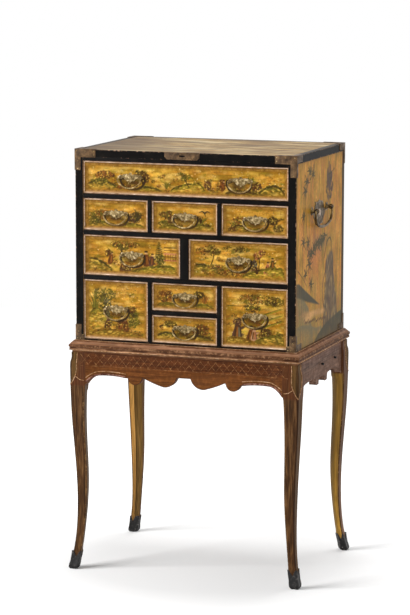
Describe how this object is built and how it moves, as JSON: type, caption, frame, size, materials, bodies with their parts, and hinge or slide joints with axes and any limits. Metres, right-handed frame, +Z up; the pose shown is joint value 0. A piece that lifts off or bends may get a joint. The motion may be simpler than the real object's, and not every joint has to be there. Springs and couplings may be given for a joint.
{
  "type": "cabinet on stand",
  "caption": "Lacquered cabinet of drawers with brass corner mounts and bail handles, on a carved stand with curved legs and metal shoes.",
  "frame": {"origin": "on the floor, under the middle of the feet", "axes": "+Z up, the drawer fronts face -Y, +X to the right seen from the front"},
  "size_m": [0.748, 0.538, 1.2976],
  "materials": {
    "gold_lacquer": "gilt and painted lacquer, aged and crackled, satin",
    "black_lacquer": "black lacquer, worn at the edges, semi-gloss",
    "stand_wood": "carved, painted and gilded wood, rubbed",
    "drawer_wood": "plain planed softwood, darkened by age",
    "mount_brass": "aged sheet brass, dull",
    "handle_brass": "aged cast brass, rubbed bright on the raised parts",
    "sabot_iron": "dark patinated metal, satin"
  },
  "bodies": {
    "cabinet": {"stand_moulding": "stand_wood", "front_apron": "stand_wood", "rear_apron": "stand_wood", "side_aprons": "stand_wood", "front_left_leg": "stand_wood", "front_right_leg": "stand_wood", "rear_left_leg": "stand_wood", "rear_right_leg": "stand_wood", "sabots": "sabot_iron", "carcass_top": "gold_lacquer", "carcass_bottom": "black_lacquer", "carcass_left_side": "gold_lacquer", "carcass_right_side": "gold_lacquer", "carcass_back": "black_lacquer", "drawer_dividers": "black_lacquer", "brass_mounts": "mount_brass", "side_handle_mounts": "handle_brass"},
    "long_drawer": {"long_drawer_front": "gold_lacquer", "long_drawer_box": "drawer_wood", "long_drawer_handle_mounts": "handle_brass"},
    "long_drawer_left_bail": {"long_drawer_left_bail": "handle_brass"},
    "long_drawer_right_bail": {"long_drawer_right_bail": "handle_brass"},
    "middle_left_drawer": {"middle_left_drawer_front": "gold_lacquer", "middle_left_drawer_box": "drawer_wood", "middle_left_drawer_handle_mounts": "handle_brass"},
    "middle_left_drawer_bail": {"middle_left_drawer_bail": "handle_brass"},
    "middle_right_drawer": {"middle_right_drawer_front": "gold_lacquer", "middle_right_drawer_box": "drawer_wood", "middle_right_drawer_handle_mounts": "handle_brass"},
    "middle_right_drawer_bail": {"middle_right_drawer_bail": "handle_brass"},
    "lower_left_drawer": {"lower_left_drawer_front": "gold_lacquer", "lower_left_drawer_box": "drawer_wood", "lower_left_drawer_handle_mounts": "handle_brass"},
    "lower_left_drawer_bail": {"lower_left_drawer_bail": "handle_brass"},
    "lower_right_drawer": {"lower_right_drawer_front": "gold_lacquer", "lower_right_drawer_box": "drawer_wood", "lower_right_drawer_handle_mounts": "handle_brass"},
    "lower_right_drawer_bail": {"lower_right_drawer_bail": "handle_brass"},
    "small_lower_drawer": {"small_lower_drawer_front": "gold_lacquer", "small_lower_drawer_box": "drawer_wood", "small_lower_drawer_handle_mounts": "handle_brass"},
    "small_lower_drawer_bail": {"small_lower_drawer_bail": "handle_brass"},
    "small_upper_drawer": {"small_upper_drawer_front": "gold_lacquer", "small_upper_drawer_box": "drawer_wood", "small_upper_drawer_handle_mounts": "handle_brass"},
    "small_upper_drawer_bail": {"small_upper_drawer_bail": "handle_brass"},
    "upper_left_drawer": {"upper_left_drawer_front": "gold_lacquer", "upper_left_drawer_box": "drawer_wood", "upper_left_drawer_handle_mounts": "handle_brass"},
    "upper_left_drawer_bail": {"upper_left_drawer_bail": "handle_brass"},
    "upper_middle_drawer": {"upper_middle_drawer_front": "gold_lacquer", "upper_middle_drawer_box": "drawer_wood", "upper_middle_drawer_handle_mounts": "handle_brass"},
    "upper_middle_drawer_bail": {"upper_middle_drawer_bail": "handle_brass"},
    "upper_right_drawer": {"upper_right_drawer_front": "gold_lacquer", "upper_right_drawer_box": "drawer_wood", "upper_right_drawer_handle_mounts": "handle_brass"},
    "upper_right_drawer_bail": {"upper_right_drawer_bail": "handle_brass"},
    "right_side_bail": {"right_side_bail": "handle_brass"},
    "left_side_bail": {"left_side_bail": "handle_brass"}
  },
  "joints": [
    {"name": "long_drawer_slide", "type": "slide", "parent": "cabinet", "child": "long_drawer", "axis": [0, -1, 0], "range_m": [0, 0.33]},
    {"name": "long_drawer_left_bail_swing", "type": "hinge", "parent": "long_drawer", "child": "long_drawer_left_bail", "pos_m": [-0.175, -0.249, 1.2165], "axis": [-1, 0, 0], "range_deg": [0, 150]},
    {"name": "long_drawer_right_bail_swing", "type": "hinge", "parent": "long_drawer", "child": "long_drawer_right_bail", "pos_m": [0.175, -0.249, 1.2165], "axis": [-1, 0, 0], "range_deg": [0, 150]},
    {"name": "middle_left_drawer_slide", "type": "slide", "parent": "cabinet", "child": "middle_left_drawer", "axis": [0, -1, 0], "range_m": [0, 0.33]},
    {"name": "middle_left_drawer_bail_swing", "type": "hinge", "parent": "middle_left_drawer", "child": "middle_left_drawer_bail", "pos_m": [-0.16925, -0.249, 0.98125], "axis": [-1, 0, 0], "range_deg": [0, 150]},
    {"name": "middle_right_drawer_slide", "type": "slide", "parent": "cabinet", "child": "middle_right_drawer", "axis": [0, -1, 0], "range_m": [0, 0.33]},
    {"name": "middle_right_drawer_bail_swing", "type": "hinge", "parent": "middle_right_drawer", "child": "middle_right_drawer_bail", "pos_m": [0.16925, -0.249, 0.98125], "axis": [-1, 0, 0], "range_deg": [0, 150]},
    {"name": "lower_left_drawer_slide", "type": "slide", "parent": "cabinet", "child": "lower_left_drawer", "axis": [0, -1, 0], "range_m": [0, 0.33]},
    {"name": "lower_left_drawer_bail_swing", "type": "hinge", "parent": "lower_left_drawer", "child": "lower_left_drawer_bail", "pos_m": [-0.221, -0.249, 0.81475], "axis": [-1, 0, 0], "range_deg": [0, 150]},
    {"name": "lower_right_drawer_slide", "type": "slide", "parent": "cabinet", "child": "lower_right_drawer", "axis": [0, -1, 0], "range_m": [0, 0.33]},
    {"name": "lower_right_drawer_bail_swing", "type": "hinge", "parent": "lower_right_drawer", "child": "lower_right_drawer_bail", "pos_m": [0.221, -0.249, 0.81475], "axis": [-1, 0, 0], "range_deg": [0, 150]},
    {"name": "small_lower_drawer_slide", "type": "slide", "parent": "cabinet", "child": "small_lower_drawer", "axis": [0, -1, 0], "range_m": [0, 0.33]},
    {"name": "small_lower_drawer_bail_swing", "type": "hinge", "parent": "small_lower_drawer", "child": "small_lower_drawer_bail", "pos_m": [0, -0.249, 0.76562], "axis": [-1, 0, 0], "range_deg": [0, 150]},
    {"name": "small_upper_drawer_slide", "type": "slide", "parent": "cabinet", "child": "small_upper_drawer", "axis": [0, -1, 0], "range_m": [0, 0.33]},
    {"name": "small_upper_drawer_bail_swing", "type": "hinge", "parent": "small_upper_drawer", "child": "small_upper_drawer_bail", "pos_m": [0, -0.249, 0.86387], "axis": [-1, 0, 0], "range_deg": [0, 150]},
    {"name": "upper_left_drawer_slide", "type": "slide", "parent": "cabinet", "child": "upper_left_drawer", "axis": [0, -1, 0], "range_m": [0, 0.33]},
    {"name": "upper_left_drawer_bail_swing", "type": "hinge", "parent": "upper_left_drawer", "child": "upper_left_drawer_bail", "pos_m": [-0.221, -0.249, 1.10475], "axis": [-1, 0, 0], "range_deg": [0, 150]},
    {"name": "upper_middle_drawer_slide", "type": "slide", "parent": "cabinet", "child": "upper_middle_drawer", "axis": [0, -1, 0], "range_m": [0, 0.33]},
    {"name": "upper_middle_drawer_bail_swing", "type": "hinge", "parent": "upper_middle_drawer", "child": "upper_middle_drawer_bail", "pos_m": [0, -0.249, 1.10475], "axis": [-1, 0, 0], "range_deg": [0, 150]},
    {"name": "upper_right_drawer_slide", "type": "slide", "parent": "cabinet", "child": "upper_right_drawer", "axis": [0, -1, 0], "range_m": [0, 0.33]},
    {"name": "upper_right_drawer_bail_swing", "type": "hinge", "parent": "upper_right_drawer", "child": "upper_right_drawer_bail", "pos_m": [0.221, -0.249, 1.10475], "axis": [-1, 0, 0], "range_deg": [0, 150]},
    {"name": "right_side_bail_swing", "type": "hinge", "parent": "cabinet", "child": "right_side_bail", "pos_m": [0.366, -0.02, 1.119], "axis": [0, -1, 0], "range_deg": [0, 150]},
    {"name": "left_side_bail_swing", "type": "hinge", "parent": "cabinet", "child": "left_side_bail", "pos_m": [-0.366, -0.02, 1.119], "axis": [0, 1, 0], "range_deg": [0, 150]}
  ]
}
